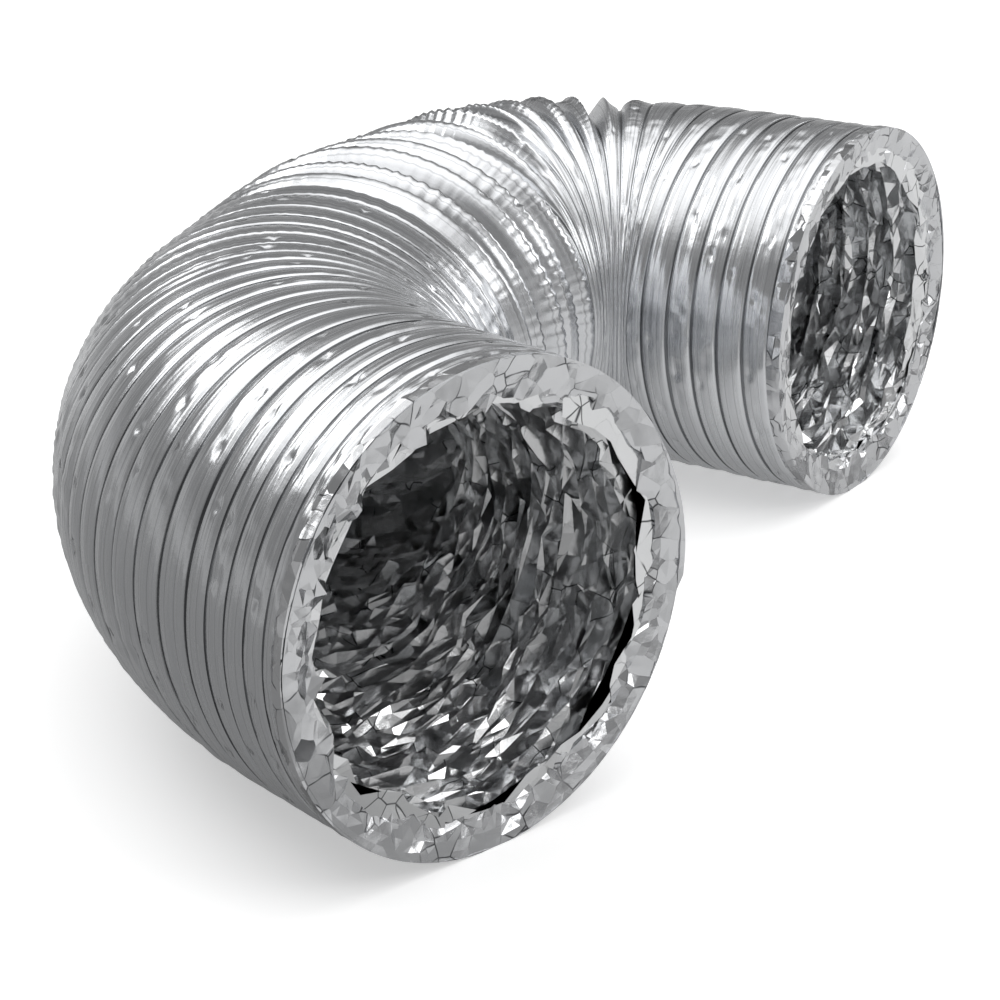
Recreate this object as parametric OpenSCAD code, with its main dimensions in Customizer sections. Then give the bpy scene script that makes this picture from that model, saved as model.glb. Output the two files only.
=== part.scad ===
// Flexible air duct: a laminated foil tube on a spring wire coil, laid in a U on its side.
// The tube runs from its near mouth up a short leg, round a wide bend, along a stretched run, round a
// tight bend and out of its far mouth.
// Each section carries its own stretch of outer foil, wire coil and inner foil, so that the tube can
// bend, lift and stretch between one section and the next.
// Millimetres, +Z up. The origin is the middle of the footprint, on the floor.

/* [Tube] */
// Bore of the folded cuffs at both mouths
bore_d = 150; // [130:1:180]
// Depth of a pleat, from the bore to the outside
pleat_depth = 5; // [4:0.5:8]
// Thickness of the outer foil laminate
outer_foil = 0.6; // [0.3:0.1:0.9]
// Thickness of the inner foil laminate
inner_foil = 0.4; // [0.3:0.1:0.5]

/* [Wire] */
// Diameter of the spring wire with its adhesive
wire_d = 1.4; // [1:0.1:1.6]
// Wire turns in the near leg's end and in its root
near_turns = [3, 2]; // [1:1:6]
// Wire turns in each section of the wide bend
wide_turns = [5, 5, 4]; // [3:1:7]
// Wire turns in each stretched section
stretched_turns = [4, 3]; // [2:1:7]
// Wire turns in each section of the tight bend
tight_turns = [2, 3, 3, 3]; // [2:1:4]
// Wire turns in the far leg's root and in its end
far_turns = [3, 3]; // [1:1:6]

/* [Cuffs] */
// Length of foil folded back into each mouth
cuff_depth = 14; // [8:1:16]
// Thickness of the folded foil
cuff_foil = 0.6; // [0.3:0.1:0.9]

/* [Route] */
// Length of the straight leg at the near mouth
near_leg = 48; // [40:1:140]
// Length of the straight leg at the far mouth
far_leg = 72; // [40:1:140]
// Radius of the wide bend, to the middle of the tube
wide_radius = 182; // [150:1:260]
// Turn of the wide bend, made by three sections
wide_angle = 51.4; // [40:0.2:62]
// Length of the stretched run between the bends, made by two sections
stretched_length = 146; // [100:1:200]
// Turn of the stretched run
stretched_angle = 15; // [8:0.5:24]
// Turn of the tight bend, made by four sections
tight_angle = 99.4; // [80:0.2:104]

/* [Clearances] */
// Gap between the cuff and the inner foil round it
cuff_gap = 0.2; // [0.1:0.1:0.3]
// Gap between the wire and the outer foil over it
wire_gap = 0.4; // [0.2:0.1:0.6]
// Gap between two sections at the tightest side of a bend
section_gap = 0.1; // [0.05:0.05:0.3]
// Gap between wire turns bunched on the inside of the tight bend
bunch_gap = 0.25; // [0.2:0.05:0.6]
// Distance that the wire stops short of its section's ends
wire_stop = 1; // [0.9:0.1:2]

/* [Hidden] */
outer_r = bore_d / 2 + pleat_depth;
wire_path_r = outer_r - outer_foil - wire_gap - wire_d / 2;
inner_foil_r = bore_d / 2 + cuff_foil + cuff_gap;
tight_turn = tight_angle / len(tight_turns);
tight_radius = wire_path_r + max(tight_turns) * (wire_d + bunch_gap) / (tight_turn * PI / 180);
start_heading = 90;
coil_steps = 24;
coil_sides = 4;

SECTIONS = ["near_end", "near_leg", "bend_1", "bend_2", "bend_3", "bend_4", "bend_5", "bend_6",
            "bend_7", "bend_8", "bend_9", "far_leg", "far_end"];
LAST = len(SECTIONS) - 1;
COILS = [each near_turns, each wide_turns, each stretched_turns, each tight_turns, each far_turns];
TURNS = [for (k = near_turns) 0,
         for (k = wide_turns) wide_angle / len(wide_turns),
         for (k = stretched_turns) stretched_angle / len(stretched_turns),
         for (k = tight_turns) tight_turn,
         for (k = far_turns) 0];
function arc_length(radius, turn) = radius * turn * PI / 180;
function shares(length, turns) = [for (k = turns) length * k / sum_of(turns)];
function sum_of(values, i = 0) = i == len(values) ? 0 : values[i] + sum_of(values, i + 1);
LENGTHS = [each shares(near_leg, near_turns),
           for (k = wide_turns) arc_length(wide_radius, wide_angle / len(wide_turns)),
           for (k = stretched_turns) stretched_length / len(stretched_turns),
           for (k = tight_turns) arc_length(tight_radius, tight_turn),
           each shares(far_leg, far_turns)];

// The tube's middle line. A heading is an angle in plan, and the tube turns clockwise, so the outside
// of the bend is on the left of its heading.
function ahead(heading) = [cos(heading), sin(heading)];
function left(heading) = [-sin(heading), cos(heading)];
function bend_radius(i) = LENGTHS[i] / (TURNS[i] * PI / 180);
function heading_at(i, s) = start_of(i)[1] - TURNS[i] * s / LENGTHS[i];
function middle_at(i, s) =
    TURNS[i] == 0
    ? start_of(i)[0] + s * ahead(start_of(i)[1])
    : bend_centre(i) + bend_radius(i) * left(heading_at(i, s));
function bend_centre(i) = start_of(i)[0] - bend_radius(i) * left(start_of(i)[1]);
// Where section i starts: its middle point in plan and its heading
function start_of(i) =
    i == 0
    ? [[0, 0], start_heading]
    : let (last = i - 1, from = start_of(last), to = from[1] - TURNS[last])
      [TURNS[last] == 0
       ? from[0] + LENGTHS[last] * ahead(from[1])
       : from[0] + (LENGTHS[last] / (TURNS[last] * PI / 180)) * (left(to) - left(from[1])), to];

// The footprint, from the section ends and from where the outline runs along X or Y
function stops(i) = [0, LENGTHS[i],
    for (h = [90, 0, -90, -180])
        let (s = TURNS[i] == 0 ? -1 : (start_of(i)[1] - h) / TURNS[i] * LENGTHS[i])
            if (s > 0 && s < LENGTHS[i]) s];
OUTLINE = [for (i = [0:LAST], s = stops(i), side = [-1, 1])
           middle_at(i, s) + side * outer_r * left(heading_at(i, s))];
function middle_of(values) = (min(values) + max(values)) / 2;
ORIGIN = [middle_of([for (p = OUTLINE) p[0]]), middle_of([for (p = OUTLINE) p[1]])];

// Moves a tube's children onto the floor-standing middle line, with the origin in mid-footprint
module on_floor() {
    translate([-ORIGIN[0], -ORIGIN[1], outer_r]) children();
}

// A plain tube along a straight section, from one distance along it to another
module straight_tube(i, r_in, thickness, from, to) {
    start = middle_at(i, from);
    translate(start) rotate(start_heading_of(i)) rotate([0, 90, 0]) difference() {
        cylinder(h = to - from, r = r_in + thickness, $fn = 96);
        translate([0, 0, -1]) cylinder(h = to - from + 2, r = r_in, $fn = 96);
    }
}
function start_heading_of(i) = start_of(i)[1];

// A plain tube round a bend section, clear of its neighbours by half the gap at its tightest side
module bent_tube(i, r_in, thickness) {
    spare = asin(section_gap / 2 / (bend_radius(i) - outer_r));
    translate(bend_centre(i)) rotate(start_heading_of(i) + 90 - TURNS[i] + spare)
        rotate_extrude(angle = TURNS[i] - 2 * spare, $fn = 96)
            translate([bend_radius(i), 0]) difference() {
                circle(r = r_in + thickness, $fn = 96);
                circle(r = r_in, $fn = 96);
            }
}

// One section's tube of foil, which starts behind the cuff's lip on a section that holds a cuff
module foil_section(i, r_in, thickness) {
    lip_room = cuff_foil + cuff_gap;
    from = i == 0 ? lip_room : section_gap / 2;
    to = LENGTHS[i] - (i == LAST ? lip_room : section_gap / 2);
    on_floor()
        if (TURNS[i] == 0) straight_tube(i, r_in, thickness, from, to);
        else bent_tube(i, r_in, thickness);
}

module outer_foil_section(i) {
    color("#c9cdd1") foil_section(i, outer_r - outer_foil, outer_foil);
}

module inner_foil_section(i) {
    color("#dadcdf") foil_section(i, inner_foil_r, inner_foil);
}

// One section's wire, a helix swept as a polyhedron. It starts and ends on the outside of the bend.
module wire_coil_section(i) {
    from = wire_stop + (i == 0 ? cuff_foil : 0);
    to = LENGTHS[i] - wire_stop - (i == LAST ? cuff_foil : 0);
    steps = COILS[i] * coil_steps;
    centres = [for (k = [0:steps]) from + (to - from) * k / steps];
    points = [for (s = centres, side = [0:coil_sides - 1])
        let (round = 360 * COILS[i] * s / LENGTHS[i], heading = heading_at(i, s),
             reach = wire_path_r + wire_d / 2 * cos(360 * side / coil_sides),
             along = wire_d / 2 * sin(360 * side / coil_sides),
             plan = middle_at(i, s) + reach * cos(round) * left(heading) + along * ahead(heading))
            [plan[0], plan[1], reach * sin(round)]];
    walls = [for (k = [0:steps - 1], side = [0:coil_sides - 1])
        let (a = k * coil_sides + side, b = k * coil_sides + (side + 1) % coil_sides)
            each [[a, b, b + coil_sides], [a, b + coil_sides, a + coil_sides]]];
    first_cap = [for (side = [coil_sides - 1:-1:0]) side];
    last_cap = [for (side = [0:coil_sides - 1]) steps * coil_sides + side];
    color("#8b8d90") on_floor() polyhedron(points, [each walls, first_cap, last_cap]);
}

// The foil folded over a mouth's edge and back into its bore: a lip across the pleats and a sleeve
module cuff(at, heading) {
    color("#e4e6e8") on_floor() translate(at) rotate(heading) rotate([0, 90, 0]) difference() {
        union() {
            cylinder(h = cuff_foil, r = outer_r, $fn = 96);
            cylinder(h = cuff_depth, r = bore_d / 2 + cuff_foil, $fn = 96);
        }
        translate([0, 0, -1]) cylinder(h = cuff_depth + 2, r = bore_d / 2, $fn = 96);
    }
}

// The cuff of the near mouth
module near_cuff() {
    cuff(middle_at(0, 0), start_heading);
}

// The cuff of the far mouth, which faces back into the tube
module far_cuff() {
    cuff(middle_at(LAST, LENGTHS[LAST]), heading_at(LAST, LENGTHS[LAST]) + 180);
}

for (i = [0:LAST]) {
    outer_foil_section(i);
    wire_coil_section(i);
    inner_foil_section(i);
}
near_cuff();
far_cuff();
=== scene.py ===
"""Looks of the flexible air duct: crumpled and pleated aluminium foil on a spring wire coil.

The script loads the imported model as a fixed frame, winds two foil skins and a wire along the tube's middle line,
folds a lip over each mouth, and sets them on a plain pale floor under soft studio light. Metres, +Z up.
"""
import logging
import math
from dataclasses import dataclass, field
from enum import Enum

import bmesh
import bpy
import numpy as np
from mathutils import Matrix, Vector


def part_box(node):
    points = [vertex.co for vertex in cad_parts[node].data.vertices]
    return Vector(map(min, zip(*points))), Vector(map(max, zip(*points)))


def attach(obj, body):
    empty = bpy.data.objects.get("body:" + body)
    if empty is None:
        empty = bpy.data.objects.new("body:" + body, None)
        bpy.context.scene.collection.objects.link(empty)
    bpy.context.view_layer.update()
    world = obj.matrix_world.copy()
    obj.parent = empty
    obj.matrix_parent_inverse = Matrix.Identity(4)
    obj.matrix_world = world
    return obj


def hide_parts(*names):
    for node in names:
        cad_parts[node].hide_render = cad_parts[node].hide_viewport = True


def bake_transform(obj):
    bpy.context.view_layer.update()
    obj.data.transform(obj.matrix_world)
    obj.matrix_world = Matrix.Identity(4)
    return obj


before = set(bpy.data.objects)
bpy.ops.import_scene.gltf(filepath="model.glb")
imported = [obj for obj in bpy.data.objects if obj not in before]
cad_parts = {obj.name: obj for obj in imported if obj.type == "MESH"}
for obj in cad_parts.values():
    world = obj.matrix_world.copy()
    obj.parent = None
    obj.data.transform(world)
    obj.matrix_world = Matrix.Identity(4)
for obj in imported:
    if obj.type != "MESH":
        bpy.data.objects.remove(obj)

LOG = logging.getLogger("duct")
MM = 0.001
TAU = 2 * math.pi
WELD = 0.5e-6  # vertices closer than this become one


# --- Small tools ---------------------------------------------------------------------------------


def linear(code: str) -> tuple[float, float, float, float]:
    """Turns an sRGB hex colour to linear RGBA.

    Args:
        code: The colour as six hex digits after a hash.

    Returns:
        Red, green, blue and alpha, each 0 to 1.
    """
    parts = [int(code[i:i + 2], 16) / 255 for i in (1, 3, 5)]
    red, green, blue = (c / 12.92 if c <= 0.04045 else ((c + 0.055) / 1.055) ** 2.4 for c in parts)
    return red, green, blue, 1.0


def add_node(tree: bpy.types.NodeTree, kind: str, settings: dict | None = None,
             inputs: dict | None = None, links: dict | None = None) -> bpy.types.Node:
    """Adds a node with its settings and links.

    Args:
        tree: The node tree that gets the node.
        kind: The node's type name.
        settings: Properties of the node by name.
        inputs: Values of the node's input sockets by name or number.
        links: Output sockets of other nodes, by the input they feed.

    Returns:
        The new node.
    """
    node = tree.nodes.new(kind)
    for name, value in (settings or {}).items():
        setattr(node, name, value)
    for name, value in (inputs or {}).items():
        node.inputs[name].default_value = value
    for name, output in (links or {}).items():
        tree.links.new(output, node.inputs[name])
    return node


def smooth(low: float, high: float, value: np.ndarray) -> np.ndarray:
    """Rises smoothly from 0 at low to 1 at high."""
    t = np.clip((value - low) / (high - low), 0.0, 1.0)
    return t * t * (3 - 2 * t)


def dice(i: np.ndarray, j: np.ndarray, seed: int) -> np.ndarray:
    """Gives repeatable numbers for whole-number places.

    Args:
        i: First whole number of each place.
        j: Second whole number of each place.
        seed: Which set of numbers.

    Returns:
        Numbers from 0 to 1.
    """
    n = (np.asarray(i).astype(np.int64) * 374761393 + np.asarray(j).astype(np.int64) * 668265263
         + seed * 974634777) & 0xFFFFFFFF
    n = ((n ^ (n >> 13)) * 1274126177) & 0xFFFFFFFF
    n = ((n ^ (n >> 15)) * 668265263) & 0xFFFFFFFF
    return ((n ^ (n >> 16)) & 0xFFFFFF) / 0xFFFFFF


def ripple(x: np.ndarray, y: np.ndarray, seed: int) -> np.ndarray:
    """Gives smooth repeatable noise with one cell to each unit.

    Args:
        x: First coordinate, in cells.
        y: Second coordinate, in cells.
        seed: Which set of numbers.

    Returns:
        Values from -1 to 1.
    """
    i, j = np.floor(x), np.floor(y)
    u, w = x - i, y - j
    u, w = u * u * (3 - 2 * u), w * w * (3 - 2 * w)
    low = dice(i, j, seed) * (1 - u) + dice(i + 1, j, seed) * u
    high = dice(i, j + 1, seed) * (1 - u) + dice(i + 1, j + 1, seed) * u
    return (low * (1 - w) + high * w) * 2 - 1


def make_object(name: str, points: np.ndarray, faces: np.ndarray, strip_uv: np.ndarray | None,
                material: bpy.types.Material, rounded: bool) -> bpy.types.Object:
    """Makes a mesh object from arrays.

    Args:
        name: The piece's name.
        points: One row of x, y, z to each vertex.
        faces: One row of vertex numbers to each face, all of one count.
        strip_uv: Metres along and across the foil strip at each face corner, in the order of faces.
        material: The piece's material.
        rounded: True for smooth shading, False for flat facets.

    Returns:
        The object, linked into the scene.
    """
    mesh = bpy.data.meshes.new(name)
    corners = faces.shape[1]
    mesh.vertices.add(len(points))
    mesh.vertices.foreach_set("co", points.astype(np.float32).ravel())
    mesh.loops.add(faces.size)
    mesh.loops.foreach_set("vertex_index", faces.astype(np.int32).ravel())
    mesh.polygons.add(len(faces))
    mesh.polygons.foreach_set("loop_start", np.arange(0, faces.size, corners, dtype=np.int32))
    mesh.polygons.foreach_set("loop_total", np.full(len(faces), corners, np.int32))
    mesh.update(calc_edges=True)
    if strip_uv is not None:
        layer = mesh.uv_layers.new(name="strip")
        layer.data.foreach_set("uv", strip_uv.astype(np.float32).ravel())
    mesh.polygons.foreach_set("use_smooth", np.full(len(faces), rounded))
    mesh.validate()
    merge = bmesh.new()
    merge.from_mesh(mesh)
    bmesh.ops.remove_doubles(merge, verts=merge.verts, dist=WELD)
    bmesh.ops.delete(merge, geom=[v for v in merge.verts if not v.link_faces], context="VERTS")
    merge.to_mesh(mesh)
    merge.free()
    mesh.materials.append(material)
    piece = bpy.data.objects.new(name, mesh)
    bpy.context.scene.collection.objects.link(piece)
    return piece


def split_to_facets(piece: bpy.types.Object) -> None:
    """Splits each four-sided face into two flat facets, along its shorter diagonal.

    Args:
        piece: The piece whose mesh is split.
    """
    mesh = bmesh.new()
    mesh.from_mesh(piece.data)
    bmesh.ops.triangulate(mesh, faces=mesh.faces, quad_method="SHORT_EDGE")
    mesh.to_mesh(piece.data)
    mesh.free()


# --- Finishes ------------------------------------------------------------------------------------


def start_material(name: str, metallic: float) -> tuple[bpy.types.Material, bpy.types.NodeTree, bpy.types.Node]:
    """Makes a material that has only its shader.

    Args:
        name: The material's name.
        metallic: 1 for a bare metal, 0 for anything else.

    Returns:
        The material, its node tree and its shader.
    """
    material = bpy.data.materials.new(name)
    material.use_nodes = True
    shader = material.node_tree.nodes["Principled BSDF"]
    shader.inputs["Metallic"].default_value = metallic
    return material, material.node_tree, shader


@dataclass(frozen=True)
class RolledFoil:
    """Aluminium foil laminate, cold rolled and then wound: soft silver reflections drawn out along the strip.

    The rolls leave fine streaks, the winding leaves long shallow waves, and handling leaves pocks. The dark lines in
    the groove beside each wire line, and along a few thin creases across each band, are painted shade.
    Real rolling lines are finer than 0.1 mm, so streaks and waves are drawn as coarse as they need to show.
    """

    name: str = "rolled_aluminium_foil"
    bright: str = "#EDEEF0"
    dull: str = "#D3D5D8"
    roughness: float = 0.24
    roughness_spread: float = 0.12
    streak_length: float = 45 * MM
    streak_width: float = 0.9 * MM
    streak_height: float = 0.04 * MM
    line_length: float = 110 * MM
    line_width: float = 2.2 * MM
    line_height: float = 0.3 * MM
    # painted shade: the colour of the dark lines in the grooves and along the creases
    painted_groove_shade: str = "#77797C"
    groove_shade_share: float = 0.07
    groove_shade_core: float = 0.35
    creases: int = 3
    crease_shade_share: float = 0.4
    strip_width: float = 12 * MM
    pock_size: float = 2.2 * MM
    pock_height: float = 0.05 * MM

    def material(self) -> bpy.types.Material:
        """Makes the node material, with its patterns laid along and across the strip.

        Returns:
            The material.
        """
        material, tree, shader = start_material(self.name, 1.0)
        strip = add_node(tree, "ShaderNodeUVMap", {"uv_map": "strip"})
        stretched = add_node(tree, "ShaderNodeMapping", {}, {
            "Scale": (1 / self.streak_length, 1 / self.streak_width, 1.0)}, {"Vector": strip.outputs[0]})
        streaks = add_node(tree, "ShaderNodeTexNoise", {}, {"Scale": 1.0, "Detail": 3.0},
                           {"Vector": stretched.outputs[0]})
        pocks = add_node(tree, "ShaderNodeTexNoise", {}, {"Scale": 1 / self.pock_size, "Detail": 2.0},
                         {"Vector": strip.outputs[0]})
        tone = add_node(tree, "ShaderNodeMix", {"data_type": "RGBA"}, {
            6: linear(self.dull), 7: linear(self.bright)}, {0: streaks.outputs["Fac"]})
        # Painted shade: dark lines in the groove beside each wire line and along a few thin creases across each band
        across = add_node(tree, "ShaderNodeSeparateXYZ", links={0: strip.outputs[0]})
        turns = add_node(tree, "ShaderNodeMath", {"operation": "MULTIPLY"}, {1: 1 / self.strip_width},
                         {0: across.outputs["Y"]})
        beside = add_node(tree, "ShaderNodeMath", {"operation": "PINGPONG"}, {1: 0.5}, {0: turns.outputs[0]})
        close = add_node(tree, "ShaderNodeMapRange", {"interpolation_type": "SMOOTHSTEP"}, {
            "From Min": self.groove_shade_share * self.groove_shade_core, "From Max": self.groove_shade_share, "To Min": 1.0, "To Max": 0.0},
            {"Value": beside.outputs[0]})
        thirds = add_node(tree, "ShaderNodeMath", {"operation": "MULTIPLY"}, {1: self.creases / self.strip_width},
                          {0: across.outputs["Y"]})
        between = add_node(tree, "ShaderNodeMath", {"operation": "PINGPONG"}, {1: 0.5}, {0: thirds.outputs[0]})
        crease_shade = add_node(tree, "ShaderNodeMapRange", {"interpolation_type": "SMOOTHSTEP"}, {
            "From Min": 0.0, "From Max": self.groove_shade_share, "To Min": self.crease_shade_share, "To Max": 0.0},
            {"Value": between.outputs[0]})
        painted_shade = add_node(tree, "ShaderNodeMath", {"operation": "MAXIMUM"}, {},
                          {0: close.outputs[0], 1: crease_shade.outputs[0]})
        shaded_tone = add_node(tree, "ShaderNodeMix", {"data_type": "RGBA"}, {7: linear(self.painted_groove_shade)},
                          {0: painted_shade.outputs[0], 6: tone.outputs[2]})
        tree.links.new(shaded_tone.outputs[2], shader.inputs["Base Color"])
        rough = add_node(tree, "ShaderNodeMapRange", {}, {
            "From Min": 0.3, "From Max": 0.7, "To Min": self.roughness - self.roughness_spread / 2,
            "To Max": self.roughness + self.roughness_spread / 2}, {"Value": streaks.outputs["Fac"]})
        tree.links.new(rough.outputs[0], shader.inputs["Roughness"])
        lines = add_node(tree, "ShaderNodeBump", {}, {"Distance": self.streak_height, "Strength": 1.0},
                         {"Height": streaks.outputs["Fac"]})
        long = add_node(tree, "ShaderNodeMapping", {}, {
            "Scale": (1 / self.line_length, 1 / self.line_width, 1.0)}, {"Vector": strip.outputs[0]})
        waves = add_node(tree, "ShaderNodeTexNoise", {}, {"Scale": 1.0, "Detail": 1.0},
                         {"Vector": long.outputs[0]})
        rolls = add_node(tree, "ShaderNodeBump", {}, {"Distance": self.line_height, "Strength": 1.0},
                         {"Height": waves.outputs["Fac"], "Normal": lines.outputs[0]})
        dimples = add_node(tree, "ShaderNodeBump", {}, {"Distance": self.pock_height, "Strength": 1.0},
                           {"Height": pocks.outputs["Fac"], "Normal": rolls.outputs[0]})
        tree.links.new(dimples.outputs[0], shader.inputs["Normal"])
        return material


@dataclass(frozen=True)
class CrumpledFoil:
    """Aluminium foil laminate, crushed by hand or by the pleats: flat mirror facets between sharp creases.

    Each facet mirrors its own bit of the room, so that bright and dark ones lie side by side. In patches the creases
    get a thin dark line of painted shade.
    """

    name: str = "crumpled_aluminium_foil"
    colour: str = "#F0F1F2"
    roughness: float = 0.2
    crease_size: float = 11 * MM
    lean: float = 0.34
    # painted shade: the colour of the thin dark lines along the creases
    painted_crease_shade: str = "#4A4B4E"
    shade_line_share: float = 0.03
    shade_line_patch: float = 14 * MM
    warp: float = 0.4
    grain_size: float = 1.6 * MM
    grain_height: float = 0.05 * MM

    def material(self) -> bpy.types.Material:
        """Makes the node material. Cells of one slope each stand for the small facets that creases leave.

        Returns:
            The material.
        """
        material, tree, shader = start_material(self.name, 1.0)
        shader.inputs["Roughness"].default_value = self.roughness
        place = add_node(tree, "ShaderNodeTexCoord")
        bent = add_node(tree, "ShaderNodeTexNoise", {}, {"Scale": self.warp / self.crease_size, "Detail": 2.0},
                        {"Vector": place.outputs["Object"]})
        shift = add_node(tree, "ShaderNodeVectorMath", {"operation": "SCALE"}, {"Scale": self.crease_size},
                         {0: bent.outputs["Color"]})
        spot = add_node(tree, "ShaderNodeVectorMath", {"operation": "ADD"}, {},
                        {0: place.outputs["Object"], 1: shift.outputs[0]})
        cells = add_node(tree, "ShaderNodeTexVoronoi", {}, {"Scale": 1 / self.crease_size},
                         {"Vector": spot.outputs[0]})
        edges = add_node(tree, "ShaderNodeTexVoronoi", {"feature": "DISTANCE_TO_EDGE"},
                         {"Scale": 1 / self.crease_size}, {"Vector": spot.outputs[0]})
        # Painted shade: thin dark lines along the creases, in patches
        shade_lines = add_node(tree, "ShaderNodeMapRange", {"interpolation_type": "SMOOTHSTEP"}, {
            "From Min": 0.0, "From Max": self.shade_line_share, "To Min": 1.0, "To Max": 0.0},
            {"Value": edges.outputs["Distance"]})
        patches = add_node(tree, "ShaderNodeTexNoise", {}, {"Scale": 1 / self.shade_line_patch, "Detail": 1.0},
                           {"Vector": place.outputs["Object"]})
        some = add_node(tree, "ShaderNodeMapRange", {"interpolation_type": "SMOOTHSTEP"}, {
            "From Min": 0.5, "From Max": 0.62}, {"Value": patches.outputs["Fac"]})
        part = add_node(tree, "ShaderNodeMath", {"operation": "MULTIPLY"}, {},
                        {0: shade_lines.outputs[0], 1: some.outputs[0]})
        tone = add_node(tree, "ShaderNodeMix", {"data_type": "RGBA"}, {
            6: linear(self.colour), 7: linear(self.painted_crease_shade)}, {0: part.outputs[0]})
        tree.links.new(tone.outputs[2], shader.inputs["Base Color"])
        away = add_node(tree, "ShaderNodeVectorMath", {"operation": "SUBTRACT"}, {},
                        {0: spot.outputs[0], 1: cells.outputs["Position"]})
        lean = add_node(tree, "ShaderNodeVectorMath", {"operation": "SUBTRACT"}, {1: (0.5, 0.5, 0.5)},
                        {0: cells.outputs["Color"]})
        slope = add_node(tree, "ShaderNodeVectorMath", {"operation": "DOT_PRODUCT"}, {},
                         {0: away.outputs[0], 1: lean.outputs[0]})
        grain = add_node(tree, "ShaderNodeTexNoise", {}, {"Scale": 1 / self.grain_size, "Detail": 2.0},
                         {"Vector": place.outputs["Object"]})
        folds = add_node(tree, "ShaderNodeBump", {}, {"Distance": self.lean, "Strength": 1.0},
                         {"Height": slope.outputs["Value"]})
        fine = add_node(tree, "ShaderNodeBump", {}, {"Distance": self.grain_height, "Strength": 1.0},
                        {"Height": grain.outputs["Fac"], "Normal": folds.outputs[0]})
        tree.links.new(fine.outputs[0], shader.inputs["Normal"])
        return material


@dataclass(frozen=True)
class DrawnSteel:
    """Spring steel wire, drawn and oiled: a darker, warmer grey than the foil, with a tight gloss."""

    name: str = "drawn_spring_steel"
    colour: str = "#8C8984"
    roughness: float = 0.28
    roughness_spread: float = 0.12
    mark_length: float = 3 * MM

    def material(self) -> bpy.types.Material:
        """Makes the node material, with faint marks from the drawing die.

        Returns:
            The material.
        """
        material, tree, shader = start_material(self.name, 1.0)
        shader.inputs["Base Color"].default_value = linear(self.colour)
        place = add_node(tree, "ShaderNodeTexCoord")
        marks = add_node(tree, "ShaderNodeTexNoise", {}, {"Scale": 1 / self.mark_length, "Detail": 3.0},
                         {"Vector": place.outputs["Object"]})
        rough = add_node(tree, "ShaderNodeMapRange", {}, {
            "To Min": self.roughness - self.roughness_spread / 2,
            "To Max": self.roughness + self.roughness_spread / 2}, {"Value": marks.outputs["Fac"]})
        tree.links.new(rough.outputs[0], shader.inputs["Roughness"])
        return material


@dataclass(frozen=True)
class SeamlessPaper:
    """Matt white background paper, calendered smooth: bright and even, with no gloss.

    In the foil it mirrors as the grey of paper in half shade: darker to the left, lighter to the right.
    """

    name: str = "seamless_paper"
    colour: str = "#FAFAFA"
    mirrored: str = "#BEBEBE"
    shaded: str = "#7C7C7C"
    glow: float = 0.42
    shade_edge: tuple[float, float] = (-0.32, 0.0)
    roughness: float = 0.9

    def material(self) -> bpy.types.Material:
        """Makes the node material, with one tone for direct sight and another for what the foil mirrors.

        Returns:
            The material.
        """
        material, tree, shader = start_material(self.name, 0.0)
        ray = add_node(tree, "ShaderNodeLightPath")
        place = add_node(tree, "ShaderNodeTexCoord")
        split = add_node(tree, "ShaderNodeSeparateXYZ", links={0: place.outputs["Object"]})
        side = add_node(tree, "ShaderNodeMapRange", {"interpolation_type": "SMOOTHSTEP"}, {
            "From Min": self.shade_edge[0], "From Max": self.shade_edge[1]}, {"Value": split.outputs["X"]})
        shade = add_node(tree, "ShaderNodeMix", {"data_type": "RGBA"}, {
            6: linear(self.shaded), 7: linear(self.mirrored)}, {0: side.outputs[0]})
        tone = add_node(tree, "ShaderNodeMix", {"data_type": "RGBA"}, {6: linear(self.colour)}, {
            0: ray.outputs["Is Glossy Ray"], 7: shade.outputs[2]})
        tree.links.new(tone.outputs[2], shader.inputs["Base Color"])
        tree.links.new(tone.outputs[2], shader.inputs["Emission Color"])
        shader.inputs["Emission Strength"].default_value = self.glow
        shader.inputs["Roughness"].default_value = self.roughness
        shader.inputs["Specular IOR Level"].default_value = 0.0
        return material


# --- The tube's route ----------------------------------------------------------------------------


@dataclass(frozen=True)
class Section:
    """One rigid stretch of the tube between two joints."""

    name: str
    turns: int
    length: float
    bend: float = 0.0


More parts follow.
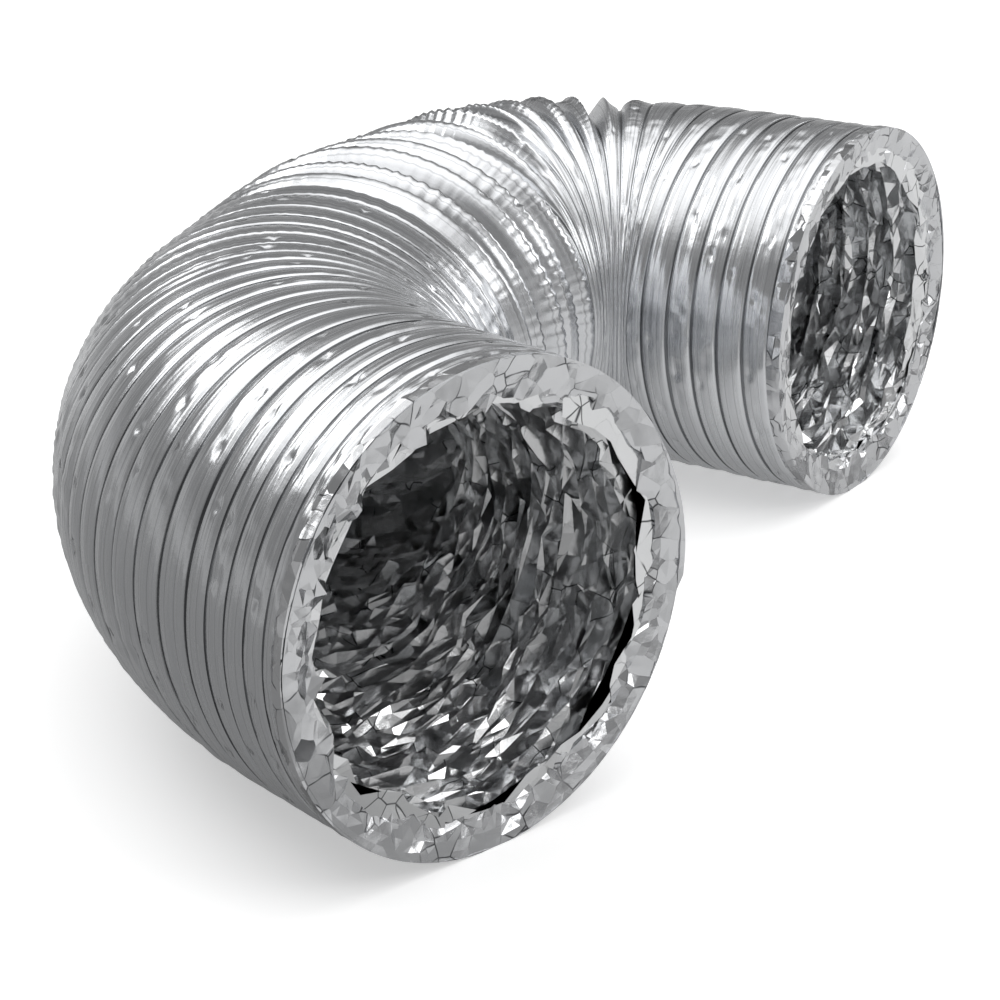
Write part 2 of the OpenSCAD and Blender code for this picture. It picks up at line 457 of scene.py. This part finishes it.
class Route:
    """The tube's middle line, which turns clockwise in plan, with the wire turns laid along it."""

    STEPS = 64

    def __init__(self, start: tuple[float, float], heading: float, height: float, radius: float,
                 sections: list[Section]) -> None:
        """Lays the sections end to end.

        Args:
            start: The middle of the near mouth, in plan.
            heading: The direction into the tube there, in radians.
            height: The middle line's height over the floor.
            radius: The tube's outside radius.
            sections: The stretches in order.
        """
        self.sections, self.height, self.radius = sections, height, radius
        lengths = np.array([s.length for s in sections])
        bends = np.radians([s.bend for s in sections])
        self.curves = bends / lengths
        self.starts = np.concatenate([[0], np.cumsum(lengths)])
        self.counts = np.concatenate([[0], np.cumsum([s.turns for s in sections])]).astype(float)
        self.turns = int(self.counts[-1])
        self.length = float(self.starts[-1])
        self.headings = heading - np.concatenate([[0], np.cumsum(bends)])
        self.corners = np.zeros((len(sections) + 1, 2))
        self.corners[0] = start
        for i in range(len(sections)):
            self.corners[i + 1] = self.place(np.array([self.starts[i + 1] - 1e-9]), i)[0][0]
        self._lay_turns()

    def _lay_turns(self) -> None:
        """Spaces the turns evenly in each section, and eases the change of spacing from one to the next."""
        turn = np.linspace(0, self.turns, self.turns * self.STEPS + 1)
        reach = np.interp(turn, self.counts, self.starts)
        pitch = np.diff(reach)
        window = np.hanning(2 * self.STEPS + 1)
        window /= window.sum()
        pitch = np.convolve(np.pad(pitch, self.STEPS, mode="edge"), window, mode="valid")
        reach = np.concatenate([[0], np.cumsum(pitch)])
        self._turn, self._reach = turn, reach * self.length / reach[-1]
        self._pitch = np.gradient(self._reach, turn)
        along = np.linspace(0, self.length, 1200)
        curve = self.curves[np.clip(np.searchsorted(self.starts, along, "right") - 1, 0, len(self.curves) - 1)]
        ease = np.hanning(61)
        self._along = along
        self._curve = np.convolve(np.pad(curve, 30, mode="edge"), ease / ease.sum(), mode="valid")

    def place(self, s: np.ndarray, section: int | None = None) -> tuple[np.ndarray, np.ndarray]:
        """Finds points of the middle line.

        Args:
            s: Distances along the line.
            section: The section to stay on, or None to find it from the distance.

        Returns:
            The points in plan and the headings there.
        """
        last = len(self.sections) - 1
        i = np.clip(np.searchsorted(self.starts, s, "right") - 1, 0, last) if section is None else \
            np.full(np.shape(s), section)
        ds, first, curve = s - self.starts[i], self.headings[i], self.curves[i]
        heading = first - curve * ds
        half = curve * ds / 2
        chord = ds * np.where(np.abs(half) < 1e-9, 1.0, np.sin(half) / np.where(half == 0, 1, half))
        mid = first - half
        return self.corners[i] + chord[..., None] * np.stack([np.cos(mid), np.sin(mid)], -1), heading

    def reach(self, turn: np.ndarray) -> np.ndarray:
        """Distance along the middle line at which the wire has made so many turns."""
        return np.interp(turn, self._turn, self._reach)

    def pitch(self, turn: np.ndarray) -> np.ndarray:
        """Spacing of the wire turns there, on the middle line."""
        return np.interp(turn, self._turn, self._pitch)

    def curve(self, s: np.ndarray) -> np.ndarray:
        """The bend there, as one over its radius, eased between sections."""
        return np.interp(s, self._along, self._curve)

    def wrap(self, s: np.ndarray, phi: np.ndarray, r: np.ndarray) -> np.ndarray:
        """Places points round the middle line.

        Args:
            s: Distances along the line.
            phi: Angles round it, from the outside of the bend upwards.
            r: Distances from it.

        Returns:
            Points in the row frame, in the arrays' shape with x, y, z last.
        """
        plan, heading = self.place(s)
        out = r * np.cos(phi)
        x = plan[..., 0] - out * np.sin(heading)
        y = plan[..., 1] + out * np.cos(heading)
        return np.stack([x, y, self.height + r * np.sin(phi) + 0 * x], -1)


# --- The wound pieces ----------------------------------------------------------------------------


@dataclass
class Wound:
    """A skin that is wound as a helix. Its rows run along the strip, so folds and creases follow the wire."""

    route: Route
    material: bpy.types.Material
    label: str = "skin"
    phases: tuple[float, ...] = (0.0, 0.25, 0.5, 0.75)
    columns: int = 96
    rounded: bool = True
    outward: bool = True
    slot: str = "outer_foil"
    strip_width: float = 12 * MM
    pieces: list[bpy.types.Object] = field(default_factory=list)

    def points(self, row: np.ndarray, column: np.ndarray) -> np.ndarray:
        """Places the grid's points. Each kind of skin has its own.

        Args:
            row: Row numbers, which grow along the tube.
            column: Column numbers, which grow round it.

        Returns:
            Points in the row frame.
        """
        raise NotImplementedError

    def count(self, row: np.ndarray) -> np.ndarray:
        """The wire turns at which a row starts."""
        rows = len(self.phases)
        return row // rows + np.array(self.phases)[row % rows]

    def row(self, turns: float) -> int:
        """Finds the row that starts at, or nearest to, so many turns.

        Args:
            turns: Wire turns made.

        Returns:
            The row's number.
        """
        whole = math.floor(turns + 1e-6)
        part = min(range(len(self.phases)), key=lambda i: abs(self.phases[i] - (turns - whole)))
        return whole * len(self.phases) + part

    def cut(self, name: str, first: int, last: int) -> bpy.types.Object:
        """Makes the piece between two rows.

        Args:
            name: The piece's name.
            first: Its first row.
            last: Its last row.

        Returns:
            The piece.
        """
        rows, n, per = last - first, self.columns, len(self.phases)
        row, column = np.meshgrid(np.arange(first, last + 1), np.arange(n), indexing="ij")
        spare = np.arange(last - per + 1, last + 1)
        grid = self.points(row, column).reshape(-1, 3)
        edge = self.points(spare + per, np.zeros_like(spare))
        points = np.concatenate([grid, edge])
        number = np.zeros((rows + 1, n + 1), int)
        number[:, :n] = np.arange((rows + 1) * n).reshape(rows + 1, n)
        wrapped = np.arange(rows + 1) + per
        number[:, n] = np.where(wrapped <= rows, number[np.minimum(wrapped, rows), 0],
                                (rows + 1) * n + wrapped - rows - 1)
        quads = np.stack([number[:-1, :-1], number[:-1, 1:], number[1:, 1:], number[1:, :-1]], -1)
        turn = self.count(row[:, 0])
        strip = np.floor(turn[:-1] + 1e-6)
        across = np.stack([turn[:-1], turn[1:]], -1) - strip[:, None]
        angle = np.arange(n + 1) / n
        u = (strip[:, None, None] + np.stack([angle[:-1], angle[1:], angle[1:], angle[:-1]], -1)[None])
        w = np.stack([across[:, 0], across[:, 0], across[:, 1], across[:, 1]], -1)[:, None, :] + 0 * u
        w = w + strip[:, None, None]
        uv = np.stack([u * TAU * self.route.radius, w * self.strip_width], -1)
        base = turn[:-1, None] + (np.arange(n) / n)[None]
        keep = (base + 1 / n + (turn[1:] - turn[:-1])[:, None] > 1e-6) & (base < self.route.turns - 1e-6)
        quads, uv = quads[keep], uv[keep]
        if not self.outward:
            quads, uv = quads[:, ::-1], uv[:, ::-1]
        return make_object(name, points, quads, uv, self.material, self.rounded)

    def build(self) -> None:
        """Makes one piece to each joint, from the middle of one section to the middle of the next, and two ends."""
        route = self.route
        middles = (route.counts[:-1] + route.counts[1:]) / 2 - 0.5
        cuts = [self.row(-1.0), *[self.row(m) for m in middles], self.row(float(route.turns))]
        for k in range(len(cuts) - 1):
            name = f"{self.label}_{k:02d}"
            piece = self.cut(name, cuts[k], cuts[k + 1])
            self.join(piece, k, cuts[k], cuts[k + 1])
            self.pieces.append(piece)
            LOG.info("%s: %d faces", name, len(piece.data.polygons))

    def join(self, piece: bpy.types.Object, k: int, first: int, last: int) -> None:
        """Hides the CAD node that a piece stands for and rides an end piece on its end body; a middle piece only
        gets the room for a blend between its two bodies measured, and its place baked into its mesh.

        Args:
            piece: The piece.
            k: Its place along the tube, from 0.
            first: Its first row.
            last: Its last row.
        """
        names = [s.name for s in self.route.sections]
        node = f"{self.node}_{names[min(k, len(names) - 1)]}"
        if k < len(names):
            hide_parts(node)
        if k in (0, len(names)):
            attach(piece, names[0] if k == 0 else names[-1])
            return
        here = self.route.corners[k]
        heading = self.route.headings[k]
        along = np.array([math.cos(heading), math.sin(heading)])
        every = np.arange(self.columns)
        lead = (self.points(np.full(self.columns, first), every)[:, :2] - here) @ along
        tail = (self.points(np.full(self.columns, last), every)[:, :2] - here) @ along
        a, b = float(lead.max()), float(tail.min())
        if a >= b:
            LOG.warning("%s: the blend has no room (%.1f to %.1f mm)", piece.name, a / MM, b / MM)
            a, b = -0.5 * MM, 0.5 * MM
        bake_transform(piece)

    @property
    def node(self) -> str:
        """The first part of the CAD nodes' names that these pieces stand for."""
        return self.label


@dataclass
class OuterFoil(Wound):
    """The outer ply: bands between the wire turns, flat where the turns are close and round where they are apart."""

    label: str = "outer_foil"
    phases: tuple[float, ...] = (0.0, 0.04, 0.085, 0.14, 0.21, 0.29, 0.37, 0.44, 0.5, 0.56, 0.63, 0.71,
                                 0.79, 0.86, 0.915, 0.96)
    columns: int = 288
    flat_bulge: float = 0.3 * MM
    slack_bulge: float = 0.7 * MM
    round_bulge: float = 11.5 * MM
    proud: float = 2.5 * MM
    opened: tuple[float, float] = (21.9, 33.0)
    crest_power: float = 1.35
    crest_softening: float = 0.63
    softened: tuple[float, float] = (26, 29)
    peak_power: float = 1.5
    skew_spread: float = 0.14
    groove: float = 0.8 * MM
    groove_reach: float = 0.55 * MM
    groove_width: float = 0.45 * MM
    crinkle: float = 0.5 * MM
    crinkle_length: float = 4.8 * MM
    crush: float = 0.5 * MM
    crush_length: float = 4.5 * MM
    line: float = 0.07 * MM
    lap: float = 0.12 * MM
    dent: float = 1.3 * MM
    dent_spacing: float = 30 * MM
    tilt: float = 0.11
    tilt_length: float = 110 * MM
    uneven: float = 4.5 * MM

    def span(self, turn: np.ndarray, phi: np.ndarray) -> np.ndarray:
        """Width of the band at a place, between one wire turn and the next."""
        s = self.route.reach(turn)
        return self.route.pitch(turn) * (1 + self.route.curve(s) * self.route.radius * np.cos(phi))

    def bulge(self, turn: np.ndarray, phi: np.ndarray) -> np.ndarray:
        """How far a band stands out over the wire lines beside it.

        Args:
            turn: Wire turns made there.
            phi: Angles round the middle line.

        Returns:
            Heights in metres.
        """
        width = self.span(turn, phi)
        slack = self.flat_bulge * smooth(1 * MM, 8 * MM, width) + self.slack_bulge * smooth(
            12 * MM, 19 * MM, width)
        return slack + (self.round_bulge - slack) * self.openness(turn, phi)

    def openness(self, turn: np.ndarray, phi: np.ndarray) -> np.ndarray:
        """How far the tube is drawn out there.

        Args:
            turn: Wire turns made there.
            phi: Angles round the middle line.

        Returns:
            Shares, from 0 where its bands lie flat to 1 where they stand up round.
        """
        first, last = self.opened
        drawn = smooth(first - 1.5, first + 1.2, turn) * (1 - smooth(last - 1.2, last + 1.4, turn))
        return drawn * smooth(5 * MM, 14 * MM, self.span(turn, phi))

    def valley(self, turn: np.ndarray, phi: np.ndarray) -> np.ndarray:
        """Distance of the wire line's outside from the middle line."""
        stand = self.proud * self.openness(turn, phi) - self.bulge(turn, phi)
        return self.route.radius + stand - self.groove * 0.5

    def points(self, row: np.ndarray, column: np.ndarray) -> np.ndarray:
        """Places the outer ply's points.

        Args:
            row: Row numbers, which grow along the tube.
            column: Column numbers, which grow round it.

        Returns:
            Points in the row frame.
        """
        phi = column / self.columns * TAU
        turn = np.clip(self.count(row) + column / self.columns, 0, self.route.turns)
        count = turn - column / self.columns
        strip = np.floor(count + 1e-6)
        p = np.clip(count - strip, 0, 1)
        arc = (strip + column / self.columns) * TAU * self.route.radius
        width, bulge = self.span(turn, phi), self.bulge(turn, phi)
        openness = self.openness(turn, phi)
        softer = smooth(*self.softened, turn)
        rounded = np.clip(1 - (2 * p - 1) ** 2, 0, 1) ** (self.crest_power - self.crest_softening * softer)
        skew = 0.5 + self.skew_spread * (self.chance(turn, 5) - 0.5)
        tip = np.where(p < skew, p / skew, (1 - p) / (1 - skew))
        peaked = np.clip(tip, 0, 1) ** self.peak_power
        share = smooth(0.45, 0.75, self.chance(turn, 3) + 0.5 * softer - 0.25) * openness
        lobe = rounded * (1 - share) + peaked * share
        edge = np.minimum(p, 1 - p) * np.maximum(width, 4 * MM)
        groove = self.groove * np.minimum(1, width / (6 * MM)) * np.exp(
            -((edge - self.groove_reach) / self.groove_width) ** 2)
        cover = np.clip(np.sin(np.pi * p), 0, 1) ** 0.7
        lines = self.line * ripple(arc / (90 * MM), p * 9, 11) * cover
        lap = self.lap * smooth(0.49, 0.51, p) * (1 - smooth(0.51, 0.9, p)) * (1 - openness)
        wobble = ripple(arc / (26 * MM), 0 * arc, 21)
        fold = np.cos(TAU * (arc / self.crinkle_length + 0.9 * wobble + 0.35 * p))
        drawn = smooth(10, 17, turn) * (1 - smooth(34, 37, turn)) * smooth(6 * MM, 12 * MM, width)
        amount = np.maximum(openness, 0.6 * drawn) * (0.65 + 0.6 * ripple(arc / (30 * MM), p * 2, 23))
        crinkle = self.crinkle * fold * amount * cover
        ends = smooth(2.6, 0.6, turn) + smooth(self.route.turns - 2.2, self.route.turns - 0.8, turn)
        patch = np.maximum(smooth(0.1, 0.7, ripple(arc / (30 * MM), 0 * arc, 31)), 0.9 * ends)
        crush = self.crush * patch * (1 - openness) * cover * ripple(
            arc / self.crush_length, p * 3, 33)
        r = self.route.radius + self.proud * openness - bulge * (1 - lobe) - groove
        lean = self.tilt * ripple(arc / self.tilt_length, 0 * arc, 61) * (p - 0.5) * width * (1 - openness)
        height = self.uneven * (self.chance(turn, 7) - 0.5) * openness * lobe * (1 - smooth(27, 30, turn))
        r = r + lines + lap + crinkle + crush + (lean + height) * cover
        r = r - self.dents(arc, p * width, width) * cover
        return self.route.wrap(self.route.reach(turn), phi, r)

    def chance(self, turn: np.ndarray, seed: int) -> np.ndarray:
        """Rolls a number that changes smoothly from one wire turn to the next.

        Args:
            turn: Wire turns made there.
            seed: Which set of numbers.

        Returns:
            Numbers from 0 to 1.
        """
        whole = np.floor(turn)
        low, high = dice(whole, 0 * whole, seed), dice(whole + 1, 0 * whole, seed)
        return low + (high - low) * smooth(0, 1, turn - whole)

    def dents(self, arc: np.ndarray, across: np.ndarray, width: np.ndarray) -> np.ndarray:
        """Depth of the small slanted dents: at most one to each spacing along the strip.

        Args:
            arc: Distances along the strip.
            across: Distances across it.
            width: Widths of the band there.

        Returns:
            Depths, 0 outside the dents.
        """
        cell = self.dent_spacing
        i = np.floor(arc / cell)
        there = dice(i, 0 * i, 41) > 0.4
        centre = (i + 0.25 + 0.5 * dice(i, 0 * i, 42)) * cell
        middle = width * (0.3 + 0.4 * dice(i, 0 * i, 43))
        size = (1.8 + 2.6 * dice(i, 0 * i, 44)) * MM
        slant = dice(i, 0 * i, 45) - 0.5
        along, over = (arc - centre) / size, (across - middle) / np.maximum(0.75 * size, 1.4 * MM)
        away = np.abs(along + slant * over) + np.abs(over - slant * along)
        return np.where(there, self.dent * np.clip(1 - away, 0, 1) * smooth(5 * MM, 9 * MM, width), 0.0)


@dataclass
class InnerFoil(Wound):
    """The inner ply: folded into the bore between the wire turns, and crushed to flat facets."""

    outer: OuterFoil | None = None
    label: str = "inner_foil"
    slot: str = "inner_foil"
    phases: tuple[float, ...] = (0.0, 0.2, 0.38, 0.5, 0.66, 0.84)
    columns: int = 46
    rounded: bool = False
    outward: bool = False
    fold_depth: float = 10 * MM
    crush: float = 2.4 * MM
    clear: float = 2.0 * MM
    start: float = 3.5 * MM

    def points(self, row: np.ndarray, column: np.ndarray) -> np.ndarray:
        """Places the inner ply's points, each moved a little off the even grid.

        Args:
            row: Row numbers, which grow along the tube.
            column: Column numbers, which grow round it.

        Returns:
            Points in the row frame.
        """
        per = len(self.phases)
        i, j = row, column
        jitter_turn = (dice(i, j, 51) - 0.5) * 0.16 * (i % per != 0)
        jitter_phi = (dice(i, j, 52) - 0.5) * 0.8 / self.columns
        turn = self.count(i) + j / self.columns
        inside = (turn > 1e-6) & (turn < self.route.turns - 1e-6)
        turn = np.clip(turn + np.where(inside, jitter_turn, 0), 0, self.route.turns)
        phi = (j / self.columns + jitter_phi) * TAU
        p = np.mod(self.count(i), 1)
        width = self.outer.span(turn, phi)
        wall = self.outer.valley(turn, phi) - self.clear - 1.6 * MM
        closed = 1 - smooth(9 * MM, 26 * MM, width)
        depth = self.fold_depth * (0.35 + 0.65 * closed) * (0.6 + 0.7 * dice(i, j, 53))
        fold = np.sin(np.pi * p) ** 1.2
        r = wall - depth * fold - self.crush * dice(i, j, 54) * (0.3 + 0.7 * fold)
        s = np.clip(self.route.reach(turn), self.start, self.route.length - self.start)
        return self.route.wrap(s, phi, r)

    def cut(self, name: str, first: int, last: int) -> bpy.types.Object:
        """Makes the piece between two rows, with each cell split into two flat facets.

        Args:
            name: The piece's name.
            first: Its first row.
            last: Its last row.

        Returns:
            The piece.
        """
        piece = super().cut(name, first, last)
        split_to_facets(piece)
        return piece


@dataclass
class WireCoil(Wound):
    """The spring wire, which lies under each line between two bands."""

    outer: OuterFoil | None = None
    label: str = "wire_coil"
    slot: str = "spring_wire"
    wire: float = 0.7 * MM
    steps: int = 72
    sides: int = 6

    def line(self, turn: np.ndarray) -> np.ndarray:
        """Places the middle of the wire.

        Args:
            turn: Wire turns made there.

        Returns:
            Points in the row frame.
        """
        phi = np.mod(turn, 1) * TAU
        r = self.outer.valley(turn, phi) - self.wire - 0.5 * MM
        return self.route.wrap(self.route.reach(turn), phi, r)

    def points(self, row: np.ndarray, column: np.ndarray) -> np.ndarray:
        """The wire's middle, for the ends of a blend."""
        return self.line(np.clip(self.count(row) + column / self.columns, 0, self.route.turns))

    def cut(self, name: str, first: int, last: int) -> bpy.types.Object:
        """Sweeps the wire between two rows.

        Args:
            name: The piece's name.
            first: The row where it starts.
            last: The row where it ends.

        Returns:
            The piece.
        """
        begin = max(float(self.count(np.array(first))) + 0.5, 0.35)
        end = min(float(self.count(np.array(last))) + 0.5, self.route.turns - 0.35)
        count = max(2, round((end - begin) * self.steps))
        turn = np.linspace(begin, end, count + 1)
        middle, ahead = self.line(turn), self.line(turn + 1e-3) - self.line(turn - 1e-3)
        ahead /= np.linalg.norm(ahead, axis=1)[:, None]
        plan, heading = self.route.place(self.route.reach(turn))
        phi = np.mod(turn, 1) * TAU
        out = np.stack([-np.sin(heading) * np.cos(phi), np.cos(heading) * np.cos(phi), np.sin(phi)], -1)
        side = np.cross(ahead, out)
        side /= np.linalg.norm(side, axis=1)[:, None]
        out = np.cross(side, ahead)
        angle = np.arange(self.sides) / self.sides * TAU
        ring = middle[:, None] + self.wire * (np.cos(angle)[None, :, None] * out[:, None]
                                              + np.sin(angle)[None, :, None] * side[:, None])
        number = np.arange((count + 1) * self.sides).reshape(count + 1, self.sides)
        turned = np.roll(number, -1, axis=1)
        quads = np.stack([number[:-1], turned[:-1], turned[1:], number[1:]], -1).reshape(-1, 4)
        return make_object(name, ring.reshape(-1, 3), quads, None, self.material, True)


# --- The mouths ----------------------------------------------------------------------------------


class Mouth(Enum):
    """Which end of the tube a lip is on."""

    NEAR = "near_cuff"
    FAR = "far_cuff"


@dataclass
class Lip:
    """Foil folded over a mouth's edge and crushed against it, with a torn inner edge.

    Its steps run from the hem outside the tube (below 0), over the mouth's edge (0) to the torn edge (1), and back
    into the bore (above 1).
    """

    route: Route
    material: bpy.types.Material
    mouth: Mouth
    columns: int = 104
    steps: tuple[float, ...] = (-1.0, -0.55, -0.12, 0.0, 0.16, 0.42, 0.72, 1.0, 2.0)
    reach: float = 14 * MM
    narrowing: float = 0.3
    wrap: float = 6 * MM
    hem: float = 0.45 * MM
    tear: float = 4.2 * MM
    crush: float = 3.4 * MM
    tab: float = 2.2 * MM
    sleeve: float = 2.5 * MM
    seed: int = 61

    def build(self) -> bpy.types.Object:
        """Makes the lip and rides it on its end body.

        Returns:
            The piece.
        """
        near = self.mouth is Mouth.NEAR
        seed = self.seed + (0 if near else 40)
        steps = np.array(self.steps)
        row, column = np.meshgrid(np.arange(len(steps)), np.arange(self.columns), indexing="ij")
        t = np.minimum(steps[row], 1.0)
        back = steps[row] > 1
        folded = t > 0.05
        phi = (column + np.where(folded, dice(row, column, seed) - 0.5, 0) * 0.8) / self.columns * TAU
        arc = phi * self.route.radius
        ragged = self.tear * (0.55 * ripple(arc / (16 * MM), 0 * arc, seed + 1)
                              + 0.7 * ripple(arc / (5 * MM), 0 * arc, seed + 2))
        outside = -np.cos(phi) if near else np.cos(phi)
        narrow = 1 - self.narrowing * smooth(0.1, 0.9, outside)
        inner = self.route.radius - self.reach * narrow + np.where(
            t > 0.99, ragged, 0.4 * ragged * np.maximum(t, 0))
        edge = self.route.radius - 0.2 * MM
        r = np.where(t <= 0, edge + self.hem - 0.5 * MM * smooth(0.5, 1.0, -t), edge + (inner - edge) * t)
        if near:
            r = r + self.tab * smooth(2.5, 3.2, phi) * (phi < 3.3) * np.clip(1 - 2 * np.abs(t), 0, 1)
        r = r + np.where(back, 1.5 * MM, 0)
        depth = np.where(t < 0, -t * self.wrap, np.where(back, self.sleeve, 0.0))
        depth = depth + np.where(folded, (0.2 + 2.6 * np.maximum(t, 0) ** 1.5) * MM, 0)
        rough = 0.4 + 0.6 * smooth(-0.35, 0.25, ripple(arc / (40 * MM), 0 * arc, seed + 5))
        depth = depth + np.where(folded, self.crush * rough * dice(row, column, seed + 3) * np.maximum(t, 0), 0)
        s = depth if near else self.route.length - depth
        points = self.route.wrap(s, phi, r).reshape(-1, 3)
        number = np.arange(points.shape[0]).reshape(row.shape)
        turned = np.roll(number, -1, axis=1)
        quads = np.stack([number[:-1], number[1:], turned[1:], turned[:-1]], -1).reshape(-1, 4)
        if near:
            quads = quads[:, ::-1]
        piece = make_object(f"{self.mouth.name.lower()}_lip", points, quads, None, self.material, False)
        split_to_facets(piece)
        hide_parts(self.mouth.value)
        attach(piece, self.route.sections[0 if near else -1].name)
        LOG.info("%s: %d faces", piece.name, len(piece.data.polygons))
        return piece


# --- The duct ------------------------------------------------------------------------------------


@dataclass
class Duct:
    """The whole tube: its route from the frame, and every piece along it."""

    near_leg: float = 48 * MM
    far_leg: float = 72 * MM
    wide_radius: float = 182 * MM
    wide_angle: float = 51.4
    stretched_length: float = 146 * MM
    stretched_angle: float = 15.0
    tight_radius: float = 89.7 * MM
    tight_angle: float = 99.4
    near_turns: tuple[int, ...] = (3, 2)
    wide_turns: tuple[int, ...] = (5, 5, 4)
    stretched_turns: tuple[int, ...] = (4, 3)
    tight_turns: tuple[int, ...] = (2, 3, 3, 3)
    far_turns: tuple[int, ...] = (3, 3)

    def sections(self) -> list[Section]:
        """Lists the stretches of the tube, from the near mouth to the far one.

        Returns:
            The sections in order.
        """
        wide, stretched, tight = (len(t) for t in (self.wide_turns, self.stretched_turns, self.tight_turns))
        wide_turn, tight_turn = self.wide_angle / wide, self.tight_angle / tight
        parts = [(n, self.near_leg * n / sum(self.near_turns), 0.0) for n in self.near_turns]
        parts += [(n, self.wide_radius * math.radians(wide_turn), wide_turn) for n in self.wide_turns]
        parts += [(n, self.stretched_length / stretched, self.stretched_angle / stretched)
                  for n in self.stretched_turns]
        parts += [(n, self.tight_radius * math.radians(tight_turn), tight_turn) for n in self.tight_turns]
        parts += [(n, self.far_leg * n / sum(self.far_turns), 0.0) for n in self.far_turns]
        bends = len(parts) - 4
        names = ["near_end", "near_leg", *[f"bend_{k + 1}" for k in range(bends)], "far_leg", "far_end"]
        return [Section(name, *part) for name, part in zip(names, parts)]

    def route(self) -> Route:
        """Lays the route from the near mouth's place in the frame.

        Returns:
            The route.
        """
        low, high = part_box("near_cuff")
        radius = (high.x - low.x) / 2
        return Route(((low.x + high.x) / 2, low.y), math.radians(90), (low.z + high.z) / 2, radius,
                     self.sections())

    def build(self) -> None:
        """Makes and dresses every piece."""
        route = self.route()
        rolled, crumpled = RolledFoil().material(), CrumpledFoil().material()
        folded = CrumpledFoil(name="folded_aluminium_foil", colour="#DDDEE0", roughness=0.2,
                              crease_size=8 * MM, lean=0.6, shade_line_share=0.05).material()
        steel = DrawnSteel().material()
        outer = OuterFoil(route, rolled)
        outer.build()
        InnerFoil(route, crumpled, outer=outer).build()
        WireCoil(route, steel, outer=outer).build()
        for mouth in Mouth:
            Lip(route, folded, mouth).build()


# --- The studio ----------------------------------------------------------------------------------


@dataclass
class Studio:
    """A pale floor, soft light and the camera."""

    floor_side: float = 12.0
    camera_place: tuple[float, float, float] = (-0.5864, -0.6545, 0.36)
    camera_heading: float = 48.5
    camera_pitch: float = 20.9
    lens: float = 82.8
    room: tuple[tuple[float, str], ...] = (
        (0.0, "#8C8C8C"), (0.3, "#5E5E5E"), (0.66, "#686868"), (0.84, "#CECECE"), (1.0, "#F0F0F0"))
    room_strength: float = 1.9

    def floor(self) -> None:
        """Lays the floor."""
        half = self.floor_side / 2
        points = np.array([[-half, -half, 0], [half, -half, 0], [half, half, 0], [-half, half, 0]])
        floor = make_object("floor", points, np.array([[0, 1, 2, 3]]), None, SeamlessPaper().material(), False)

    def light(self) -> None:
        """Hangs three soft panels, and gives the room plain greys with a bright ceiling for the foil to mirror."""
        self.panel("key", 3.4, (1.2, 0.45), 114, 46, 1.5)
        self.panel("side", 3.4, (1.0, 0.55), -14, 27, 1.6)
        self.panel("front", 3.0, (0.9, 0.5), -72, 34, 1.7)
        world = bpy.data.worlds.new("room")
        bpy.context.scene.world = world
        world.use_nodes = True
        tree = world.node_tree
        place = add_node(tree, "ShaderNodeTexCoord")
        split = add_node(tree, "ShaderNodeSeparateXYZ", links={0: place.outputs["Generated"]})
        ramp = add_node(tree, "ShaderNodeValToRGB", links={0: split.outputs["Z"]})
        band = ramp.color_ramp
        while len(band.elements) < len(self.room):
            band.elements.new(0.5)
        for element, (at, code) in zip(band.elements, self.room):
            element.position, element.color = at, linear(code)
        tree.links.new(ramp.outputs["Color"], tree.nodes["Background"].inputs["Color"])
        tree.nodes["Background"].inputs["Strength"].default_value = self.room_strength

    def panel(self, name: str, power: float, size: tuple[float, float], heading: float, height: float,
              away: float) -> None:
        """Hangs a soft panel that faces the object.

        Args:
            name: The light's name.
            power: Its power in watts.
            size: Its sides.
            heading: Its direction from the object in plan, in degrees.
            height: Its angle over the floor, in degrees.
            away: Its distance.
        """
        data = bpy.data.lights.new(name, "AREA")
        data.shape, data.size, data.size_y, data.energy = "RECTANGLE", *size, power
        lamp = bpy.data.objects.new(name, data)
        h, e = math.radians(heading), math.radians(height)
        back = Vector((math.cos(h) * math.cos(e), math.sin(h) * math.cos(e), math.sin(e)))
        lamp.location = back * away
        lamp.rotation_mode = "QUATERNION"
        lamp.rotation_quaternion = back.to_track_quat("Z", "Y")
        bpy.context.scene.collection.objects.link(lamp)

    def camera(self) -> None:
        """Sets the camera to look down on the duct from a little above its mouths."""
        data = bpy.data.cameras.new("camera")
        data.lens, data.sensor_width = self.lens, 36.0
        camera = bpy.data.objects.new("camera", data)
        camera.location = self.camera_place
        camera.rotation_euler = (math.radians(90 - self.camera_pitch), 0, math.radians(self.camera_heading - 90))
        bpy.context.scene.collection.objects.link(camera)
        bpy.context.scene.camera = camera

    def build(self) -> None:
        """Sets up the whole studio."""
        self.floor()
        self.light()
        self.camera()
        bpy.context.scene.view_settings.view_transform = "Standard"


def main() -> None:
    """Builds the duct and the studio."""
    logging.basicConfig(level=logging.INFO, format="%(message)s")
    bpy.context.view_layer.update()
    Duct().build()
    Studio().build()


if __name__ == "__main__":
    main()
